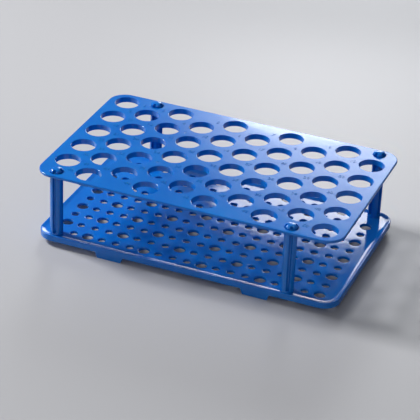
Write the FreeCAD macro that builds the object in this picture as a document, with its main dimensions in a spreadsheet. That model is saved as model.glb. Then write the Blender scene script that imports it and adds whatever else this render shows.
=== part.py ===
import FreeCAD, Part
import math
import os
import Sketcher

# Fifty-place test-tube rack: two moulded plates, one above the other, held apart by four snap-in posts.
# Millimetres, +Z up, X along the rack's length. The origin is the bottom centre, on the table.

DRIVING_DIMENSIONS = {
    # the tube places: ten columns of five, every other column moved half a place in Y
    "tube_pitch": 25,
    "column_pitch": 21.65,
    "tube_hole_dia": 18,
    "collar_wall": 1.2,
    "collar_drop": 2.3,
    # the top plate
    "rack_height": 58,
    "top_length": 224,
    "top_depth": 138.6,
    "top_thickness": 2,
    "corner_size": 13,
    "top_edge_round": 0.6,
    # the base plate: a shallow tray with a low rim, a short skirt and four feet
    "base_length": 223.6,
    "base_depth": 135,
    "base_corner_size": 12,
    "floor_height": 8,
    "floor_thickness": 2,
    "rim_rise": 0.8,
    "rim_width": 0.9,
    "rim_slope": 3.6,
    "rim_round": 0.4,
    "skirt_bottom": 4.3,
    "skirt_wall": 2,
    "foot_length": 21,
    "foot_draft": 1.6,
    "foot_offset": 54.5,
    "foot_thickness": 2.4,
    "seat_hole_dia": 8.2,
    "drain_hole_dia": 5.5,
    # the posts: round, with four grooves, a peg below and a snap tip above
    "post_inset": 62,
    "post_dia": 9.2,
    "post_seat_dia": 9.3,
    "groove_rise": 2.2,
    "groove_width": 2.3,
    "groove_floor": 2.1,
    "peg_dia": 4.46,
    "peg_length": 3.4,
    "peg_hole_dia": 4.5,
    "peg_boss_dia": 6.8,
    "neck_dia": 8.2,
    "neck_hole_dia": 8.3,
    "neck_hole_bevel": 0.7,
    "tip_dia": 8.9,
    "tip_swell": 0.5,
    "tip_rise": 2.6,
    "tip_flat_dia": 3,
    "tip_arc_size": 3.6,
}

COLUMN_PAIRS = 5
ODD_COLUMN_ROWS = (2.25, 1.25, 0.25, -0.75, -1.75)
EVEN_COLUMN_ROWS = (1.75, 0.75, -0.25, -1.25, -2.25)
FIRST_COLUMN = -4.5

# name, column counted from the middle, side in Y, turn of the grooves about the post's own axis in degrees
POSTS = (
    ("front_left_post", -4.5, -1, 4),
    ("back_left_post", -3.5, 1, -10),
    ("front_right_post", 3.5, -1, 23),
    ("back_right_post", 4.5, 1, -26),
)

doc = FreeCAD.newDocument("test_tube_rack")
sheet = doc.addObject("Spreadsheet::Sheet", "dims")
for line, (alias, size) in enumerate(DRIVING_DIMENSIONS.items(), start=1):
    sheet.set(f"A{line}", alias)
    sheet.set(f"B{line}", str(size))
    sheet.setAlias(f"B{line}", alias)
doc.recompute()


def number(expression):
    """The value of an expression in the sheet's aliases."""
    return float(sheet.evalExpression(expression))


def new_body(name):
    body = doc.addObject("PartDesign::Body", name)
    body.Label = name
    return body


def origin_feature(body, role):
    return next(feature for feature in body.Origin.OriginFeatures if feature.Role == role)


def new_sketch(body, name, plane, offset):
    """A sketch on one of the body's origin planes, moved along the plane's normal by an expression."""
    sketch = body.newObject("Sketcher::SketchObject", name)
    sketch.AttachmentSupport = (origin_feature(body, plane), [""])
    sketch.MapMode = "FlatFace"
    sketch.setExpression("AttachmentOffset.Base.z", offset)
    doc.recompute()
    return sketch


def bind(sketch, constraint, name, expression):
    """Adds a constraint that holds a size and ties it to an expression."""
    index = sketch.addConstraint(constraint)
    sketch.renameConstraint(index, name)
    sketch.setExpression(f"Constraints.{name}", expression)


def bind_point(sketch, geometry, vertex, across, along):
    """Ties a point of the sketch to a pair of expressions, measured from the sketch's origin."""
    x, y = number(across), number(along)
    tag = f"g{geometry}v{vertex}"
    bind(sketch, Sketcher.Constraint("DistanceX", -1, 1, geometry, vertex, x), f"{tag}x", across)
    bind(sketch, Sketcher.Constraint("DistanceY", -1, 1, geometry, vertex, y), f"{tag}y", along)


def draw_circles(sketch, centres, diameter):
    """Equal circles at pairs of expressions."""
    first = None
    for across, along in centres:
        centre = FreeCAD.Vector(number(across), number(along), 0)
        circle = Part.Circle(centre, FreeCAD.Vector(0, 0, 1), number(diameter) / 2)
        index = sketch.addGeometry(circle, False)
        bind_point(sketch, index, 3, across, along)
        if first is None:
            first = index
            bind(sketch, Sketcher.Constraint("Diameter", index, number(diameter)), "size", diameter)
        else:
            sketch.addConstraint(Sketcher.Constraint("Equal", first, index))


def draw_outline(sketch, points):
    """A closed outline of (across, along) points; one with a radius too begins an arc to the next."""
    spots = [FreeCAD.Vector(number(p[0]), number(p[1]), 0) for p in points]
    for index, point in enumerate(points):
        here, there = spots[index], spots[(index + 1) % len(spots)]
        if len(point) == 3:
            sketch.addGeometry(arc_to_the_left(here, there, number(point[2])), False)
        else:
            sketch.addGeometry(Part.LineSegment(here, there), False)
    for index in range(len(points)):
        following = (index + 1) % len(points)
        sketch.addConstraint(Sketcher.Constraint("Coincident", index, 2, following, 1))
    for index, point in enumerate(points):
        bind_point(sketch, index, 1, point[0], point[1])
        if len(point) == 3:
            radius = Sketcher.Constraint("Radius", index, number(point[2]))
            bind(sketch, radius, f"bend{index}", point[2])


def arc_to_the_left(start, end, radius):
    """The short arc from start to end, turning left, so its centre lies on the left of the chord."""
    chord = end - start
    left = FreeCAD.Vector(-chord.y, chord.x, 0).normalize()
    reach = math.sqrt(radius**2 - (chord.Length / 2) ** 2)
    centre = (start + end) * 0.5 + left * reach
    from_angle = math.atan2(start.y - centre.y, start.x - centre.x)
    to_angle = math.atan2(end.y - centre.y, end.x - centre.x)
    circle = Part.Circle(centre, FreeCAD.Vector(0, 0, 1), radius)
    return Part.ArcOfCircle(circle, from_angle, to_angle)


def draw_rounded_rectangle(sketch, length, depth, corner):
    """A rectangle centred on the origin with its four corners rounded, drawn anticlockwise."""
    right, back = f"({length}) / 2", f"({depth}) / 2"
    inner_x, inner_y = f"{right} - ({corner})", f"{back} - ({corner})"
    draw_outline(
        sketch,
        [
            (f"-({inner_x})", f"-({back})"),
            (f"{inner_x}", f"-({back})", corner),
            (f"{right}", f"-({inner_y})"),
            (f"{right}", f"{inner_y}", corner),
            (f"{inner_x}", f"{back}"),
            (f"-({inner_x})", f"{back}", corner),
            (f"-({right})", f"{inner_y}"),
            (f"-({right})", f"-({inner_y})", corner),
        ],
    )


def pad(body, name, sketch, length):
    feature = body.newObject("PartDesign::Pad", name)
    feature.Profile = sketch
    feature.setExpression("Length", length)
    doc.recompute()
    return feature


def pocket(body, name, sketch, length, towards_normal):
    """Cuts the sketch out of the body, and stops if the cut met no material."""
    before = body.Shape.Volume
    feature = body.newObject("PartDesign::Pocket", name)
    feature.Profile = sketch
    feature.setExpression("Length", length)
    feature.Reversed = towards_normal
    doc.recompute()
    assert body.Shape.Volume < before - 1, f"{name} cuts nothing"
    return feature


def repeat_along_x(body, name, feature, step, count):
    pattern = body.newObject("PartDesign::LinearPattern", name)
    pattern.Originals = [feature]
    pattern.Direction = (origin_feature(body, "X_Axis"), [""])
    pattern.setExpression("Length", f"({step}) * {count - 1}")
    pattern.Occurrences = count
    body.Tip = pattern
    doc.recompute()


def staggered(first_rows, second_rows, first_column=FIRST_COLUMN):
    """Centres in two neighbouring columns of the tube lattice, given as rows of the tube pitch."""
    columns = ((first_column, first_rows), (first_column + 1, second_rows))
    return [
        (f"dims.column_pitch * {column}", f"dims.tube_pitch * {row}")
        for column, rows in columns
        for row in rows
    ]


def post_centres():
    return [(f"dims.column_pitch * {column}", f"dims.post_inset * {side}") for _, column, side, _ in POSTS]


def edges_where(shape, wanted):
    return [f"Edge{index}" for index, edge in enumerate(shape.Edges, start=1) if wanted(edge)]


def round_edges(body, name, wanted, radius):
    base = body.Tip
    feature = body.newObject("PartDesign::Fillet", name)
    feature.Base = (base, edges_where(base.Shape, wanted))
    feature.setExpression("Radius", radius)
    doc.recompute()


def lies_at(edge, height):
    box = edge.BoundBox
    return abs(box.ZMin - height) < 1e-4 and abs(box.ZMax - height) < 1e-4


def make_top_plate():
    """A flat plate with fifty tube holes, each with a short collar below, and four bevelled post holes."""
    body = new_body("top_plate")
    plate = new_sketch(body, "top_outline", "XY_Plane", "dims.rack_height - dims.top_thickness")
    draw_rounded_rectangle(plate, "dims.top_length", "dims.top_depth", "dims.corner_size")
    pad(body, "top_slab", plate, "dims.top_thickness")
    top = number("dims.rack_height")
    round_edges(body, "top_edge", lambda edge: lies_at(edge, top), "dims.top_edge_round")

    holes = staggered(ODD_COLUMN_ROWS, EVEN_COLUMN_ROWS)
    step = "dims.column_pitch * 2"
    collar_base = "dims.rack_height - dims.top_thickness - dims.collar_drop"
    collars = new_sketch(body, "collar_rings", "XY_Plane", collar_base)
    draw_circles(collars, holes, "dims.tube_hole_dia + dims.collar_wall * 2")
    collar = pad(body, "collars", collars, "dims.collar_drop")
    repeat_along_x(body, "all_collars", collar, step, COLUMN_PAIRS)

    bores = new_sketch(body, "tube_circles", "XY_Plane", "dims.rack_height")
    draw_circles(bores, holes, "dims.tube_hole_dia")
    bore = pocket(body, "tube_holes", bores, "dims.top_thickness + dims.collar_drop", False)
    repeat_along_x(body, "all_tube_holes", bore, step, COLUMN_PAIRS)

    necks = new_sketch(body, "neck_circles", "XY_Plane", "dims.rack_height")
    draw_circles(necks, post_centres(), "dims.neck_hole_dia")
    pocket(body, "neck_holes", necks, "dims.top_thickness", False)
    radius = number("dims.neck_hole_dia") / 2
    pierced = body.Tip
    rims = edges_where(pierced.Shape, lambda edge: is_circle(edge, radius) and lies_at(edge, top))
    bevel = body.newObject("PartDesign::Chamfer", "neck_bevels")
    bevel.Base = (pierced, rims)
    bevel.setExpression("Size", "dims.neck_hole_bevel")
    doc.recompute()
    return body


def is_circle(edge, radius):
    return isinstance(edge.Curve, Part.Circle) and abs(edge.Curve.Radius - radius) < 1e-4


def make_base_plate():
    """A shallow tray: its floor sweeps up to a low rim, with a flat seat and a boss at each post."""
    body = new_body("base_plate")
    block = new_sketch(body, "base_outline", "XY_Plane", "dims.skirt_bottom")
    draw_rounded_rectangle(block, "dims.base_length", "dims.base_depth", "dims.base_corner_size")
    rim_top = "dims.floor_height + dims.rim_rise"
    pad(body, "base_block", block, f"{rim_top} - dims.skirt_bottom")

    mouth = tray_outline(body, "tray_mouth", rim_top, "dims.rim_width")
    floor = tray_outline(body, "tray_floor", "dims.floor_height", "dims.rim_width + dims.rim_slope")
    well = body.newObject("PartDesign::SubtractiveLoft", "tray_well")
    well.Profile = mouth
    well.Sections = [floor]
    well.Ruled = True
    doc.recompute()
    height = number(rim_top)
    round_edges(body, "rim_edges", lambda edge: lies_at(edge, height), "dims.rim_round")

    seats = new_sketch(body, "post_seat_circles", "XY_Plane", rim_top)
    draw_circles(seats, post_centres(), "dims.post_seat_dia")
    pocket(body, "post_seats", seats, "dims.rim_rise", False)

    hollow = new_sketch(body, "underside_outline", "XY_Plane", "dims.skirt_bottom")
    draw_rounded_rectangle(
        hollow,
        "dims.base_length - dims.skirt_wall * 2",
        "dims.base_depth - dims.skirt_wall * 2",
        "dims.base_corner_size - dims.skirt_wall",
    )
    under_floor = "dims.floor_height - dims.floor_thickness"
    pocket(body, "underside", hollow, f"{under_floor} - dims.skirt_bottom", True)

    bosses = new_sketch(body, "boss_circles", "XY_Plane", "dims.floor_height - dims.peg_length")
    draw_circles(bosses, post_centres(), "dims.peg_boss_dia")
    pad(body, "peg_bosses", bosses, "dims.peg_length - dims.floor_thickness")
    pegs = new_sketch(body, "peg_circles", "XY_Plane", "dims.floor_height")
    draw_circles(pegs, post_centres(), "dims.peg_hole_dia")
    pocket(body, "peg_holes", pegs, "dims.peg_length", False)

    make_feet(body)
    perforate(body)
    return body


def tray_outline(body, name, height, inset):
    """The base's outline drawn smaller by an inset, at one level of the tray."""
    sketch = new_sketch(body, name, "XY_Plane", height)
    length, depth = f"dims.base_length - ({inset}) * 2", f"dims.base_depth - ({inset}) * 2"
    draw_rounded_rectangle(sketch, length, depth, f"dims.base_corner_size - ({inset})")
    return sketch


def make_feet(body):
    """Four feet: the skirt carried down to the table over a short length, two in front and two behind."""
    feet = new_sketch(body, "foot_outlines", "XZ_Plane", "dims.base_depth / 2")
    for side in (-1, 1):
        draw_foot(feet, side)
    front = body.newObject("PartDesign::Pad", "front_feet")
    front.Profile = feet
    front.setExpression("Length", "dims.foot_thickness")
    front.Reversed = True
    doc.recompute()
    back = body.newObject("PartDesign::Mirrored", "all_feet")
    back.Originals = [front]
    back.MirrorPlane = (origin_feature(body, "XZ_Plane"), [""])
    body.Tip = back
    doc.recompute()


def draw_foot(sketch, side):
    """One foot, a trapezium wider at the skirt than at the table."""
    middle = f"dims.foot_offset * {side}"
    half = "dims.foot_length / 2"
    top = "dims.skirt_bottom + dims.rim_rise"
    corners = [
        (f"{middle} - {half} + dims.foot_draft", "0"),
        (f"{middle} + {half} - dims.foot_draft", "0"),
        (f"{middle} + {half}", top),
        (f"{middle} - {half}", top),
    ]
    start = sketch.GeometryCount
    spots = [FreeCAD.Vector(number(x), number(z), 0) for x, z in corners]
    for index in range(4):
        sketch.addGeometry(Part.LineSegment(spots[index], spots[(index + 1) % 4]), False)
    for index in range(4):
        following = start + (index + 1) % 4
        sketch.addConstraint(Sketcher.Constraint("Coincident", start + index, 2, following, 1))
        bind_point(sketch, start + index, 1, *corners[index])


def perforate(body):
    """The floor's holes: a seat under each tube place, and small drain holes at the places between."""
    cut = "dims.floor_thickness"
    pair_step = "dims.column_pitch * 2"

    seats = new_sketch(body, "seat_circles", "XY_Plane", "dims.floor_height")
    draw_circles(seats, staggered(ODD_COLUMN_ROWS, EVEN_COLUMN_ROWS), "dims.seat_hole_dia")
    seat = pocket(body, "seat_holes", seats, cut, False)
    repeat_along_x(body, "all_seat_holes", seat, pair_step, COLUMN_PAIRS)

    between = new_sketch(body, "between_circles", "XY_Plane", "dims.floor_height")
    rows = sorted(ODD_COLUMN_ROWS + EVEN_COLUMN_ROWS)
    centres = [(f"dims.column_pitch * {FIRST_COLUMN + 0.5}", f"dims.tube_pitch * {row}") for row in rows]
    draw_circles(between, centres, "dims.drain_hole_dia")
    column = pocket(body, "between_drains", between, cut, False)
    repeat_along_x(body, "all_between_drains", column, "dims.column_pitch", COLUMN_PAIRS * 2 - 1)

    # the columns' own drains leave out the end rows, where the posts stand at the first and last columns
    inner = new_sketch(body, "column_circles", "XY_Plane", "dims.floor_height")
    draw_circles(inner, staggered(EVEN_COLUMN_ROWS[:-1], ODD_COLUMN_ROWS[1:]), "dims.drain_hole_dia")
    drains = pocket(body, "column_drains", inner, cut, False)
    repeat_along_x(body, "all_column_drains", drains, pair_step, COLUMN_PAIRS)

    ends = new_sketch(body, "end_circles", "XY_Plane", "dims.floor_height")
    end_rows = staggered(EVEN_COLUMN_ROWS[-1:], ODD_COLUMN_ROWS[:1], FIRST_COLUMN + 2)
    draw_circles(ends, end_rows, "dims.drain_hole_dia")
    last = pocket(body, "end_drains", ends, cut, False)
    repeat_along_x(body, "all_end_drains", last, pair_step, COLUMN_PAIRS - 2)


def make_post(name, column, side, turn):
    """A post stands on the floor with its peg in the boss, and its snap tip passes through the top plate."""
    body = new_body(name)
    profile = new_sketch(body, f"{name}_profile", "XZ_Plane", "0")
    shoulder = "dims.rack_height - dims.top_thickness"
    swell = "dims.rack_height + dims.tip_swell"
    tip_top = "dims.rack_height + dims.tip_rise"
    draw_outline(
        profile,
        [
            ("0", "dims.floor_height - dims.peg_length"),
            ("dims.peg_dia / 2", "dims.floor_height - dims.peg_length"),
            ("dims.peg_dia / 2", "dims.floor_height"),
            ("dims.post_dia / 2", "dims.floor_height"),
            ("dims.post_dia / 2", shoulder),
            ("dims.neck_dia / 2", shoulder),
            ("dims.neck_dia / 2", "dims.rack_height"),
            ("dims.tip_dia / 2", swell, "dims.tip_arc_size"),
            ("dims.tip_flat_dia / 2", tip_top),
            ("0", tip_top),
        ],
    )
    turned = body.newObject("PartDesign::Revolution", f"{name}_turned")
    turned.Profile = profile
    turned.ReferenceAxis = (origin_feature(body, "Z_Axis"), [""])
    turned.Angle = 360
    doc.recompute()

    groove = new_sketch(body, f"{name}_groove", "XY_Plane", "dims.floor_height + dims.groove_rise")
    half = "dims.groove_width / 2"
    bend = f"dims.groove_floor + {half}"
    draw_outline(
        groove,
        [
            (f"-{half}", f"-({bend})"),
            (f"-{half}", "-dims.post_dia"),
            (f"{half}", "-dims.post_dia"),
            (f"{half}", f"-({bend})", f"{half} * 1.0001"),
        ],
    )
    cut = pocket(body, f"{name}_slot", groove, "dims.rack_height", True)
    around = body.newObject("PartDesign::PolarPattern", f"{name}_slots")
    around.Originals = [cut]
    around.Axis = (origin_feature(body, "Z_Axis"), [""])
    around.Angle = 360
    around.Occurrences = 4
    body.Tip = around
    body.setExpression("Placement.Base.x", f"dims.column_pitch * {column}")
    body.setExpression("Placement.Base.y", f"dims.post_inset * {side}")
    body.Placement.Rotation = FreeCAD.Rotation(FreeCAD.Vector(0, 0, 1), turn)
    doc.recompute()
    return body


def save(bodies):
    """Stops if anything failed, then writes each body to a file of its own."""
    failed = [item.Name for item in doc.Objects if {"Invalid", "Error"} & set(item.State)]
    assert not failed, f"failed objects: {failed}"
    for body in bodies:
        shape = body.Shape
        assert not shape.isNull() and shape.isValid() and len(shape.Solids) == 1, body.Label
    os.makedirs("parts", exist_ok=True)
    for body in bodies:
        body.Shape.exportStep(f"parts/{body.Label}.step")
        box = body.Shape.BoundBox
        print(body.Label, "volume", round(body.Shape.Volume, 1), "box", box)


save([make_top_plate(), make_base_plate()] + [make_post(*post) for post in POSTS])
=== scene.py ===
import math

import bmesh
import bpy
from mathutils import Matrix, Vector
from mathutils.geometry import delaunay_2d_cdt


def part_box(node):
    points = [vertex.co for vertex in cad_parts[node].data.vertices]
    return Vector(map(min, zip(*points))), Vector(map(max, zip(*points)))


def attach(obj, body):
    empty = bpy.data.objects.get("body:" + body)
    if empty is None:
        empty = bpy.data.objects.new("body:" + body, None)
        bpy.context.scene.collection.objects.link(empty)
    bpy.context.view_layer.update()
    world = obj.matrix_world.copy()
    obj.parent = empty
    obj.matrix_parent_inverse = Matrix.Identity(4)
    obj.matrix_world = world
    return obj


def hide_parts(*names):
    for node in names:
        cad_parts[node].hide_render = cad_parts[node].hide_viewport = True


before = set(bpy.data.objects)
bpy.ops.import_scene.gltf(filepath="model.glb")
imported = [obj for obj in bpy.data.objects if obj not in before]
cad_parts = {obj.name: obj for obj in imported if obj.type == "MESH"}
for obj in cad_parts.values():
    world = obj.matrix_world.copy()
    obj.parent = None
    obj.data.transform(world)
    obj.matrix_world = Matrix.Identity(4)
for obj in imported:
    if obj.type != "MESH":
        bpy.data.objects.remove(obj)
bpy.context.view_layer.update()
ROOT = "root"

# ------------------------------------------------------------------ sizes in metres
MM = 0.001

# the outer sizes come from the frame, the rest are named here
top_low, top_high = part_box("top_plate")
base_low, base_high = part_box("base_plate")
POSTS = ("front_left_post", "back_left_post", "front_right_post", "back_right_post")

# the tube places: ten columns of five, staggered
COLUMN_PITCH = 21.65 * MM
TUBE_PITCH = 25 * MM
COLUMNS = 10
ODD_ROWS = (2.25, 1.25, 0.25, -0.75, -1.75)
EVEN_ROWS = (1.75, 0.75, -0.25, -1.25, -2.25)
TUBE_HOLE = 9 * MM
COLLAR_WALL = 1.2 * MM
COLLAR_DROP = 2.3 * MM
HOLE_ROUND = 0.3 * MM

# the outlines, levels and holes of the two plates
TOP_CORNER = 13 * MM
TOP_FACE = top_high[2]
TOP_UNDER = TOP_FACE - 2 * MM
BASE_CORNER = 12 * MM
FLOOR = 8 * MM
FLOOR_UNDER = 6 * MM
RIM_TOP = base_high[2]
RIM_WIDTH = 0.9 * MM
RIM_SLOPE = 3.6 * MM
SKIRT_BOTTOM = 4.3 * MM
SKIRT_WALL = 2 * MM
FOOT_OFFSET = 54.5 * MM
FOOT_HALF = 10.5 * MM
FOOT_DRAFT = 1.6 * MM
SEAT_HOLE = 4.1 * MM
DRAIN_HOLE = 2.75 * MM
NECK_HOLE = 4.15 * MM
NECK_BEVEL = 0.7 * MM
POST_REACH = 62 * MM
POST_SEAT = 4.65 * MM
PEG_HOLE = 2.25 * MM
PEG_BOSS = 3.4 * MM
GATE_MARK = 1.25 * MM
GATE_SHOULDER = 0.25 * MM
GATE_DEPTH = 0.35 * MM

# how near a post no small floor hole is made, and how far in from a long side a point belongs to a foot
POST_CLEARANCE = 8 * MM
FOOT_BAND = 3 * MM

# the posts: radii from the foot upward, and the grooves down their sides
PEG_RADIUS = 2.23 * MM
POST_RADIUS = 4.6 * MM
NECK_RADIUS = 4.1 * MM
TIP_RADIUS = 4.45 * MM
TIP_SWELL = 0.5 * MM
DOME_STEPS = 6
GROOVE_HALF = 1.15 * MM
GROOVE_FLOOR = 2.1 * MM
GROOVE_RISE = 2.2 * MM
GROOVE_LIP = 0.25 * MM
GROOVE_MARGIN = 0.2 * MM

# the small rounds and bevels that soften the edges of the mouldings
TOP_EDGE_ROUND = 0.6 * MM
UNDER_EDGE_ROUND = 0.25 * MM
COLLAR_ROUND = 0.3 * MM
NECK_ROUND = 0.2 * MM
LIP_ROUND = 0.45 * MM
SEAT_ROUND = 0.5 * MM
DRAIN_ROUND = 0.45 * MM
PEG_BEVEL = 0.3 * MM
POST_BEVEL = 0.15 * MM
SMALLEST_CORNER = 0.2 * MM

# points nearer than this are one point
SAME_POINT = 0.001 * MM

# an extra loop this far above the skirt's lower edge, and a cutter that reaches this far above the floor
SKIRT_BAND = 1.2 * MM
CUTTER_RISE = 5 * MM

# the raised numbers beside the tube places
NUMBER_SIZE = 4.6 * MM
NUMBER_OFFSET = 13.9 * MM
NUMBER_HEIGHT = 0.12 * MM
NUMBER_BEVEL = 0.03 * MM
NUMBER_LIFT = 0.06 * MM


def rows_of(column):
    """The rows of a column's tube places, in tube pitches from the middle."""
    return ODD_ROWS if column % 2 == 0 else EVEN_ROWS


def column_x(column):
    """The X of a column counted from 0 at the left; halves lie between columns."""
    return (column - (COLUMNS - 1) / 2) * COLUMN_PITCH


TUBE_PLACES = [(column_x(c), row * TUBE_PITCH) for c in range(COLUMNS) for row in rows_of(c)]
POST_PLACES = {
    "front_left_post": (column_x(0), -POST_REACH),
    "back_left_post": (column_x(1), POST_REACH),
    "front_right_post": (column_x(8), -POST_REACH),
    "back_right_post": (column_x(9), POST_REACH),
}
# how far each post is turned about its own axis, in degrees
POST_TURNS = {"front_left_post": 4, "back_left_post": -10, "front_right_post": 23, "back_right_post": -26}

# small round gate marks, each in the middle of three tube places
GATE_X = column_x(6) + COLUMN_PITCH / 3
GATE_PLACES = [(side * GATE_X, side * row * TUBE_PITCH) for side in (-1, 1) for row in (0.75, -1.25)]


def drain_places():
    """The small floor holes: every half-column and half-row place with no seat, and none beside a post."""
    all_rows = sorted(ODD_ROWS + EVEN_ROWS)
    places = []
    for half_column in range(2 * COLUMNS - 1):
        for row in all_rows:
            x, y = column_x(half_column / 2), row * TUBE_PITCH
            seat = half_column % 2 == 0 and row in rows_of(half_column // 2)
            crowded = any(math.hypot(x - px, y - py) < POST_CLEARANCE for px, py in POST_PLACES.values())
            if not seat and not crowded:
                places.append((x, y))
    return places


# ------------------------------------------------------------------ loops and strips
def ring_points(centre, radius, count):
    """Points anticlockwise round a circle."""
    angles = [2 * math.pi / count * i for i in range(count)]
    return [(centre[0] + radius * math.cos(a), centre[1] + radius * math.sin(a)) for a in angles]


def rounded_rectangle(half_x, half_y, corner, inset, stations=(), arc_steps=14):
    """Points round a rounded rectangle, moved in by inset, with X stations on its long sides."""
    hx, hy, r = half_x - inset, half_y - inset, max(corner - inset, SMALLEST_CORNER)
    points = [(x, -hy) for x in sorted(stations)]
    for centre, start in (((hx - r, -hy + r), -90), ((hx - r, hy - r), 0)):
        points += arc_points(centre, r, start, arc_steps)
    points += [(x, hy) for x in sorted(stations, reverse=True)]
    for centre, start in (((-hx + r, hy - r), 90), ((-hx + r, -hy + r), 180)):
        points += arc_points(centre, r, start, arc_steps)
    return points


def arc_points(centre, radius, start, steps):
    """Points along a quarter circle that starts at an angle in degrees."""
    angles = [math.radians(start + 90 * i / steps) for i in range(steps + 1)]
    return [(centre[0] + radius * math.cos(a), centre[1] + radius * math.sin(a)) for a in angles]


def rounding(from_inset, from_z, to_inset, to_z, steps=4, hollow=False):
    """(inset, z) pairs along a quarter round between two points, leaving level (or upright if hollow)."""
    pairs = []
    for i in range(steps + 1):
        a = math.pi / 2 * i / steps
        level, upright = math.sin(a), 1 - math.cos(a)
        if hollow:
            level, upright = 1 - math.cos(a), math.sin(a)
        pairs.append((from_inset + (to_inset - from_inset) * level, from_z + (to_z - from_z) * upright))
    return pairs


def add_loop(bm, points, z):
    """New vertices over the points, all at one height or each at its own."""
    heights = z if isinstance(z, (list, tuple)) else [z] * len(points)
    return [bm.verts.new((x, y, h)) for (x, y), h in zip(points, heights)]


def join_loops(bm, upper, lower, inward=False):
    """Quads between two loops with as many points each. inward turns them to face the loops' middle."""
    count = len(upper)
    for i in range(count):
        j = (i + 1) % count
        quad = (lower[i], lower[j], upper[j], upper[i])
        bm.faces.new(quad[::-1] if inward else quad)


def add_wall(bm, loops, inward=False):
    """Quads down a list of loops, the highest first."""
    for upper, lower in zip(loops, loops[1:]):
        join_loops(bm, upper, lower, inward)


def hole_wall(bm, centre, pairs, count):
    """The wall of a round hole, as loops from its first pair to its last. Pairs are (radius, z)."""
    loops = [add_loop(bm, ring_points(centre, radius, count), z) for radius, z in pairs]
    add_wall(bm, loops, inward=True)
    return loops[0], loops[-1]


def fill_between(bm, outer, inner_loops, facing_up):
    """Triangles over the flat area inside one loop and outside the others, on the loops' own points."""
    verts = list(outer)
    edges = [(i, (i + 1) % len(outer)) for i in range(len(outer))]
    for loop in inner_loops:
        start = len(verts)
        verts += loop
        edges += [(start + i, start + (i + 1) % len(loop)) for i in range(len(loop))]
    flat = [Vector((v.co.x, v.co.y)) for v in verts]
    _, _, triangles, origins, _, _ = delaunay_2d_cdt(flat, edges, [], 1, 1e-9)
    places = [(middle(loop), reach(loop)) for loop in inner_loops]
    for triangle in triangles:
        corners = [verts[origins[i][0]] for i in triangle]
        spot = sum((v.co for v in corners), Vector()) / 3
        if any((spot.xy - centre).length < radius for centre, radius in places):
            continue
        face = bm.faces.new(corners)
        face.normal_update()
        if (face.normal.z > 0) != facing_up:
            face.normal_flip()


def middle(loop):
    """The mean place of a loop's points, seen from above."""
    return sum((v.co.xy for v in loop), Vector((0, 0))) / len(loop)


def reach(loop):
    """The radius of the circle that fits inside a round loop."""
    centre = middle(loop)
    return min((v.co.xy - centre).length for v in loop) * math.cos(math.pi / len(loop))


def finished(bm, name, sharp_angle=40):
    """A piece from a bmesh: smooth shaded, creased at real corners, with flat faces kept flat in shade."""
    mesh = bpy.data.meshes.new(name)
    limit = math.radians(sharp_angle)
    for face in bm.faces:
        face.smooth = True
    for edge in bm.edges:
        edge.smooth = edge.calc_face_angle(0) < limit
    bm.to_mesh(mesh)
    bm.free()
    piece = bpy.data.objects.new(name, mesh)
    bpy.context.scene.collection.objects.link(piece)
    weighted = piece.modifiers.new("weighted", "WEIGHTED_NORMAL")
    weighted.keep_sharp = True
    return piece


# ------------------------------------------------------------------ the plates
def make_top_plate():
    """The upper moulding: tube holes with collars, bevelled holes for the posts and small gate marks."""
    bm = bmesh.new()
    half_x, half_y = (top_high[0] - top_low[0]) / 2, (top_high[1] - top_low[1]) / 2
    edge = rounding(TOP_EDGE_ROUND, TOP_FACE, 0, TOP_FACE - TOP_EDGE_ROUND)
    edge += rounding(0, TOP_UNDER + UNDER_EDGE_ROUND, UNDER_EDGE_ROUND, TOP_UNDER, 2, hollow=True)
    loops = [add_loop(bm, rounded_rectangle(half_x, half_y, TOP_CORNER, inset), z) for inset, z in edge]
    add_wall(bm, loops)
    upper_holes, lower_holes = [], []
    foot = TOP_UNDER - COLLAR_DROP
    outer = TUBE_HOLE + COLLAR_WALL
    tube_wall = rounding(TUBE_HOLE + HOLE_ROUND, TOP_FACE, TUBE_HOLE, TOP_FACE - HOLE_ROUND, 5)
    tube_wall += rounding(TUBE_HOLE, foot + COLLAR_ROUND, TUBE_HOLE + COLLAR_ROUND, foot, 2, hollow=True)
    tube_wall += rounding(outer - COLLAR_ROUND, foot, outer, foot + COLLAR_ROUND, 2)
    tube_wall += [(outer, TOP_UNDER)]
    for centre in TUBE_PLACES:
        upper, lower = hole_wall(bm, centre, tube_wall, 48)
        upper_holes.append(upper)
        lower_holes.append(lower)
    rim = NECK_HOLE + NECK_BEVEL
    neck_wall = rounding(rim + NECK_ROUND, TOP_FACE, rim, TOP_FACE - NECK_ROUND / 2, 2)
    neck_wall += [(NECK_HOLE, TOP_FACE - NECK_BEVEL), (NECK_HOLE, TOP_UNDER)]
    for centre in POST_PLACES.values():
        upper, lower = hole_wall(bm, centre, neck_wall, 32)
        upper_holes.append(upper)
        lower_holes.append(lower)
    dimple = [(GATE_MARK, TOP_FACE), (GATE_MARK * 0.8, TOP_FACE - GATE_SHOULDER)]
    dimple.append((GATE_MARK * 0.3, TOP_FACE - GATE_DEPTH))
    for centre in GATE_PLACES:
        upper, bottom = hole_wall(bm, centre, dimple, 20)
        upper_holes.append(upper)
        bm.faces.new(bottom)
    fill_between(bm, loops[0], upper_holes, True)
    fill_between(bm, loops[-1], lower_holes, False)
    return finished(bm, "top_plate_moulding")


def skirt_height(x, y, half_y):
    """The skirt's lower edge at a place on the outline, down to the table under a foot."""
    on_long_side = abs(abs(y) - half_y) < FOOT_BAND
    beside = abs(abs(x) - FOOT_OFFSET)
    if on_long_side and beside < FOOT_HALF - FOOT_DRAFT / 2:
        return 0.0
    return SKIRT_BOTTOM


def foot_stations():
    """X places where the skirt's lower edge turns at the feet, a pair for each slanted side."""
    places = []
    for side in (-1, 1):
        for end in (-1, 1):
            edge = side * FOOT_OFFSET + end * FOOT_HALF
            places += [edge, edge - end * FOOT_DRAFT]
    return places


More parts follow.
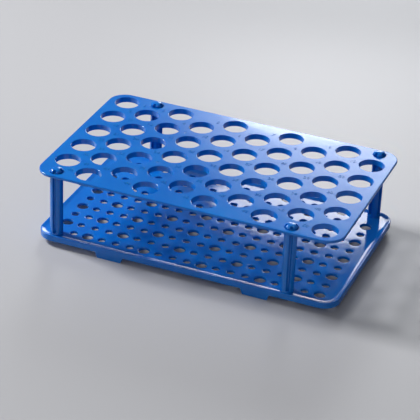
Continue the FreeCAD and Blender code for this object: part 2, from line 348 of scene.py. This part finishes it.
def make_base_plate():
    """The lower moulding: a pierced floor in a sloping rim, a skirt with four feet and four bosses."""
    bm = bmesh.new()
    half_x, half_y = (base_high[0] - base_low[0]) / 2, (base_high[1] - base_low[1]) / 2
    stations = foot_stations()

    def loop(inset, z):
        points = rounded_rectangle(half_x, half_y, BASE_CORNER, inset, stations)
        if z is None:
            z = [skirt_height(x, y, half_y) for x, y in points]
        return add_loop(bm, points, z)

    sweep = [step / 8 for step in range(9)]
    profile = [(RIM_WIDTH + RIM_SLOPE * (1 - t), FLOOR + (RIM_TOP - FLOOR) * t**2) for t in sweep]
    profile += rounding(LIP_ROUND, RIM_TOP, 0, RIM_TOP - LIP_ROUND, 4)
    profile += [(0, SKIRT_BOTTOM + SKIRT_BAND), (0, None), (SKIRT_WALL, None)]
    profile += [(SKIRT_WALL, SKIRT_BOTTOM + SKIRT_BAND), (SKIRT_WALL, FLOOR_UNDER)]
    loops = [loop(inset, z) for inset, z in profile]
    add_wall(bm, loops)
    upper_holes, lower_holes = [], []

    def pierce(places, radius, soft, count):
        wall = rounding(radius + soft, FLOOR, radius, FLOOR - soft, 4)
        wall += [(radius, FLOOR_UNDER)]
        for centre in places:
            upper, lower = hole_wall(bm, centre, wall, count)
            upper_holes.append(upper)
            lower_holes.append(lower)

    pierce(TUBE_PLACES, SEAT_HOLE, SEAT_ROUND, 32)
    pierce(drain_places(), DRAIN_HOLE, DRAIN_ROUND, 24)
    fill_between(bm, loops[0], upper_holes, True)
    fill_between(bm, loops[-1], lower_holes, False)
    peg_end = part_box("front_left_post")[0][2]
    bm = combined(bm, [(PEG_BOSS, peg_end), (PEG_BOSS, FLOOR - MM)], "UNION")
    cutter = [(PEG_HOLE, 0), (PEG_HOLE, FLOOR), (POST_SEAT, FLOOR), (POST_SEAT, FLOOR + CUTTER_RISE)]
    bm = combined(bm, cutter, "DIFFERENCE")
    return finished(bm, "base_plate_moulding")


def combined(bm, pairs, operation):
    """The piece with a turned solid at every post added or cut away. Pairs are (radius, z), upward."""
    tools = bmesh.new()
    for centre in POST_PLACES.values():
        loops = [add_loop(tools, ring_points(centre, radius, 48), z) for radius, z in pairs]
        add_wall(tools, loops[::-1])
        tools.faces.new(loops[-1])
        tools.faces.new(loops[0][::-1])
    piece, tool = loose_object(bm, "base"), loose_object(tools, "tools")
    step = piece.modifiers.new("combine", "BOOLEAN")
    step.operation, step.solver, step.object = operation, "EXACT", tool
    bpy.context.view_layer.update()
    result = bmesh.new()
    result.from_object(piece, bpy.context.evaluated_depsgraph_get())
    for used in (piece, tool):
        bpy.data.objects.remove(used)
    return result


def loose_object(bm, name):
    """A bare object made from a bmesh, which is used up."""
    mesh = bpy.data.meshes.new(name)
    bm.to_mesh(mesh)
    bm.free()
    holder = bpy.data.objects.new(name, mesh)
    bpy.context.scene.collection.objects.link(holder)
    return holder


# ------------------------------------------------------------------ the posts
def post_section(radius, groove):
    """The points of the grooved round section, or of the plain round one with as many points."""
    half, lip = GROOVE_HALF, GROOVE_LIP
    bend = GROOVE_FLOOR + half
    points = []
    for quarter in range(4):
        turn = Matrix.Rotation(math.pi / 2 * quarter, 2)
        local = []
        if groove and radius > bend + GROOVE_MARGIN:
            wall_top = math.sqrt((radius - lip) ** 2 - half**2) if radius - lip > half else bend
            local += [(half, max(wall_top, bend))]
            local += [(half * math.cos(a), bend - half * math.sin(a)) for a in steps_between(0, math.pi, 8)]
            local += [(-half, max(wall_top, bend))]
            start = math.pi / 2 + math.asin((half + lip) / radius)
        else:
            gap = math.asin(min((half + lip) / radius, 0.6))
            local += [
                (radius * math.cos(a), radius * math.sin(a))
                for a in steps_between(math.pi / 2 - gap * 0.9, math.pi / 2 + gap * 0.9, 10)
            ]
            start = math.pi / 2 + gap
        end = math.pi - (start - math.pi / 2)
        local += [(radius * math.cos(a), radius * math.sin(a)) for a in steps_between(start, end, 8)]
        points += [tuple(turn @ Vector(p)) for p in local]
    return points


def steps_between(start, end, count):
    """Evenly spaced values from start to end, both included."""
    return [start + (end - start) * i / count for i in range(count + 1)]


def make_post(name):
    """A post from its peg to its domed tip. Levels are (radius, z, whether it is grooved)."""
    bm = bmesh.new()
    low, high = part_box(name)
    groove_foot, swell = FLOOR + GROOVE_RISE, TOP_FACE + TIP_SWELL
    levels = [(PEG_RADIUS - PEG_BEVEL, low[2], False), (PEG_RADIUS, low[2] + PEG_BEVEL, False)]
    levels += [(PEG_RADIUS, FLOOR, False), (POST_RADIUS - POST_BEVEL, FLOOR, False)]
    levels += [(POST_RADIUS, FLOOR + POST_BEVEL, False), (POST_RADIUS, groove_foot, False)]
    levels += [(POST_RADIUS, groove_foot, True), (POST_RADIUS, TOP_UNDER, True)]
    levels += [(NECK_RADIUS, TOP_UNDER, True), (NECK_RADIUS, TOP_FACE, True), (TIP_RADIUS, swell, True)]
    rise = high[2] - TOP_FACE - TIP_SWELL
    for step in range(1, DOME_STEPS + 1):
        a = math.pi / 2 * step / (DOME_STEPS + 0.5)
        levels.append((TIP_RADIUS * math.cos(a) ** 0.8, swell + rise * math.sin(a), True))
    loops = [add_loop(bm, post_section(radius, groove), z) for radius, z, groove in levels]
    add_wall(bm, loops[::-1])
    bm.faces.new(loops[-1])
    bm.faces.new(loops[0][::-1])
    bmesh.ops.remove_doubles(bm, verts=bm.verts, dist=SAME_POINT)
    post = finished(bm, name + "_moulding", 35)
    x, y = POST_PLACES[name]
    turn = Matrix.Rotation(math.radians(POST_TURNS[name]), 4, "Z")
    post.data.transform(Matrix.Translation((x, y, 0)) @ turn)
    return post


# ------------------------------------------------------------------ the small marks on the top plate
def make_numbers():
    """A raised number at the left of each tube place, or at its right in the first column."""
    bm = bmesh.new()
    number = 0
    for row in range(5):
        for column in range(COLUMNS):
            number += 1
            x, y = column_x(column), rows_of(column)[row] * TUBE_PITCH
            offset = -NUMBER_OFFSET if column else NUMBER_OFFSET
            add_text(bm, str(number), x + offset, y)
    return finished(bm, "place_numbers")


def add_text(bm, words, x, y):
    """Raised digits added to the bmesh, centred over a place on the top plate."""
    curve = bpy.data.curves.new("digits", "FONT")
    curve.body = words
    curve.size = NUMBER_SIZE
    curve.extrude = NUMBER_HEIGHT
    curve.bevel_depth = NUMBER_BEVEL
    curve.resolution_u = 3
    curve.align_x, curve.align_y = "CENTER", "CENTER"
    holder = bpy.data.objects.new("digits", curve)
    bpy.context.scene.collection.objects.link(holder)
    mesh = bpy.data.meshes.new_from_object(holder)
    mesh.transform(Matrix.Translation((x, y, TOP_FACE + NUMBER_LIFT)))
    bm.from_mesh(mesh)
    bpy.data.objects.remove(holder)
    bpy.data.curves.remove(curve)
    bpy.data.meshes.remove(mesh)


# ------------------------------------------------------------------ material
DEEP_BLUE = (0.003, 0.150, 0.58, 1)
PALE_BLUE = (0.006, 0.190, 0.65, 1)
CLEAREST, HAZIEST = 0.06, 0.11


def noise(tree, where, scale, detail):
    """The value of a noise texture in the object's own space."""
    texture = tree.nodes.new("ShaderNodeTexNoise")
    texture.inputs["Scale"].default_value = scale
    texture.inputs["Detail"].default_value = detail
    tree.links.new(where, texture.inputs["Vector"])
    return texture.outputs["Fac"]


def plastic():
    """Glossy, slightly translucent blue moulded plastic with faint flow waviness and fine scuffs."""
    material = bpy.data.materials.new("blue_polypropylene")
    material.use_nodes = True
    tree = material.node_tree
    nodes, links = tree.nodes, tree.links
    shader = nodes["Principled BSDF"]
    where = nodes.new("ShaderNodeTexCoord").outputs["Object"]

    colours = nodes.new("ShaderNodeValToRGB")
    deep, pale = colours.color_ramp.elements
    deep.position, deep.color = 0.35, DEEP_BLUE
    pale.position, pale.color = 0.7, PALE_BLUE
    links.new(noise(tree, where, 18, 3), colours.inputs["Fac"])
    links.new(colours.outputs["Color"], shader.inputs["Base Color"])

    haze = nodes.new("ShaderNodeMapRange")
    haze.inputs["From Min"].default_value = 0.3
    haze.inputs["From Max"].default_value = 0.7
    haze.inputs["To Min"].default_value = CLEAREST
    haze.inputs["To Max"].default_value = HAZIEST
    links.new(noise(tree, where, 420, 6), haze.inputs["Value"])
    links.new(haze.outputs["Result"], shader.inputs["Roughness"])

    waves = nodes.new("ShaderNodeBump")
    waves.inputs["Strength"].default_value = 0.06
    waves.inputs["Distance"].default_value = 0.0006
    links.new(noise(tree, where, 55, 2), waves.inputs["Height"])
    links.new(waves.outputs["Normal"], shader.inputs["Normal"])

    shader.inputs["IOR"].default_value = 1.5
    shader.inputs["Subsurface Weight"].default_value = 0.4
    shader.inputs["Subsurface Radius"].default_value = (0.05, 0.7, 1.0)
    shader.inputs["Subsurface Scale"].default_value = 0.002
    return material


# ------------------------------------------------------------------ floor, light and camera
GROUND_COLOUR = (0.48, 0.48, 0.5, 1)


def make_floor():
    """A plain pale floor, which belongs to the studio and not to the rack."""
    bpy.ops.mesh.primitive_plane_add(size=6)
    floor = bpy.context.object
    floor.name = "floor"
    material = bpy.data.materials.new("floor")
    material.use_nodes = True
    shader = material.node_tree.nodes["Principled BSDF"]
    shader.inputs["Base Color"].default_value = GROUND_COLOUR
    shader.inputs["Roughness"].default_value = 0.45
    floor.data.materials.append(material)


def add_softbox(name, place, aim, size, power, shape):
    """A soft light turned towards aim, seen in reflections but not by the camera."""
    light = bpy.data.lights.new(name, "AREA")
    light.shape = shape
    light.size, light.size_y = size
    light.energy = power
    holder = bpy.data.objects.new(name, light)
    holder.visible_camera = False
    bpy.context.scene.collection.objects.link(holder)
    holder.location = place
    holder.rotation_euler = (Vector(aim) - Vector(place)).to_track_quat("-Z", "Y").to_euler()


# the softboxes: name, place, the spot it faces, size, watts and outline
SOFTBOXES = (
    ("key", (-1.2, 0.05, 1.0), (0, 0, 0), (0.35, 0.35), 26, "RECTANGLE"),
    ("fill", (0.5, -1.4, 1.1), (0, 0, 0.03), (1.0, 1.0), 4, "RECTANGLE"),
    ("strip", (-1.1, -0.9, 0.5), (0, 0, 0.03), (0.15, 0.9), 2, "RECTANGLE"),
    ("low_back", (-0.025, 0.33, 0.169), (0.07, 0, 0.008), (0.2, 0.06), 0.15, "ELLIPSE"),
)

# a round soft glow low behind the rack: where its middle is and how far it fades out, in degrees,
# and the strength of the glow and of the room round it
GLOW_TURN = -13
GLOW_HEIGHT = 20
GLOW_INNER = 3
GLOW_OUTER = 12
GLOW_LIGHT = 9
ROOM_LIGHT = 0.12
ROOM_COLOUR = (0.93, 0.96, 1, 1)


def direction(turn, height):
    """The unit vector at a turn from +Y towards +X and a height above the horizon, both in degrees."""
    turn, height = math.radians(turn), math.radians(height)
    return (math.sin(turn) * math.cos(height), math.cos(turn) * math.cos(height), math.sin(height))


def make_room():
    """Faint light from all round, brighter towards the glow."""
    world = bpy.data.worlds.new("studio")
    world.use_nodes = True
    nodes, links = world.node_tree.nodes, world.node_tree.links
    where = nodes.new("ShaderNodeTexCoord")
    towards = nodes.new("ShaderNodeVectorMath")
    towards.operation = "DOT_PRODUCT"
    towards.inputs[1].default_value = direction(GLOW_TURN, GLOW_HEIGHT)
    links.new(where.outputs["Generated"], towards.inputs[0])
    fade = nodes.new("ShaderNodeMapRange")
    fade.interpolation_type = "SMOOTHSTEP"
    fade.inputs["From Min"].default_value = math.cos(math.radians(GLOW_OUTER))
    fade.inputs["From Max"].default_value = math.cos(math.radians(GLOW_INNER))
    fade.inputs["To Min"].default_value = ROOM_LIGHT
    fade.inputs["To Max"].default_value = GLOW_LIGHT
    links.new(towards.outputs["Value"], fade.inputs["Value"])
    background = nodes["Background"]
    background.inputs["Color"].default_value = ROOM_COLOUR
    links.new(fade.outputs["Result"], background.inputs["Strength"])
    bpy.context.scene.world = world


# where the camera stands: angles in degrees, the distance and slide in metres, the lens in millimetres
VIEW_AZIMUTH = 20.91
VIEW_ELEVATION = 29.85
VIEW_ROLL = 2.66
VIEW_DISTANCE = 1.3051
VIEW_SLIDE = (-0.0074, -0.0332)
LENS = 159.2


def make_camera():
    """A long lens from the front, a little to the right and above, tilted slightly about its own axis."""
    azimuth, elevation, roll = (math.radians(a) for a in (VIEW_AZIMUTH, VIEW_ELEVATION, VIEW_ROLL))
    level = math.cos(elevation)
    back = Vector((math.sin(azimuth) * level, -math.cos(azimuth) * level, math.sin(elevation)))
    right = Vector((math.cos(azimuth), math.sin(azimuth), 0))
    up = back.cross(right)
    rolled_right = right * math.cos(roll) + up * math.sin(roll)
    rolled_up = up * math.cos(roll) - right * math.sin(roll)
    centre = Vector((0, 0, TOP_FACE))
    place = centre + back * VIEW_DISTANCE + rolled_right * VIEW_SLIDE[0] + rolled_up * VIEW_SLIDE[1]
    data = bpy.data.cameras.new("camera")
    data.lens = LENS
    data.sensor_width = 36
    data.clip_start, data.clip_end = 0.05, 20
    camera = bpy.data.objects.new("camera", data)
    bpy.context.scene.collection.objects.link(camera)
    turned = Matrix((rolled_right, rolled_up, back)).transposed().to_4x4()
    camera.matrix_world = Matrix.Translation(place) @ turned
    bpy.context.scene.camera = camera


# ------------------------------------------------------------------ assembly
def settle(piece, material, *nodes):
    """Give a piece its material and body, and hide the CAD nodes that it replaces."""
    piece.data.materials.clear()
    piece.data.materials.append(material)
    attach(piece, ROOT)
    if nodes:
        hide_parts(*nodes)


blue = plastic()
settle(make_top_plate(), blue, "top_plate")
settle(make_base_plate(), blue, "base_plate")
for post_name in POSTS:
    settle(make_post(post_name), blue, post_name)
settle(make_numbers(), blue)
make_floor()
for softbox in SOFTBOXES:
    add_softbox(*softbox)
make_room()
make_camera()
bpy.context.scene.view_settings.view_transform = "Standard"
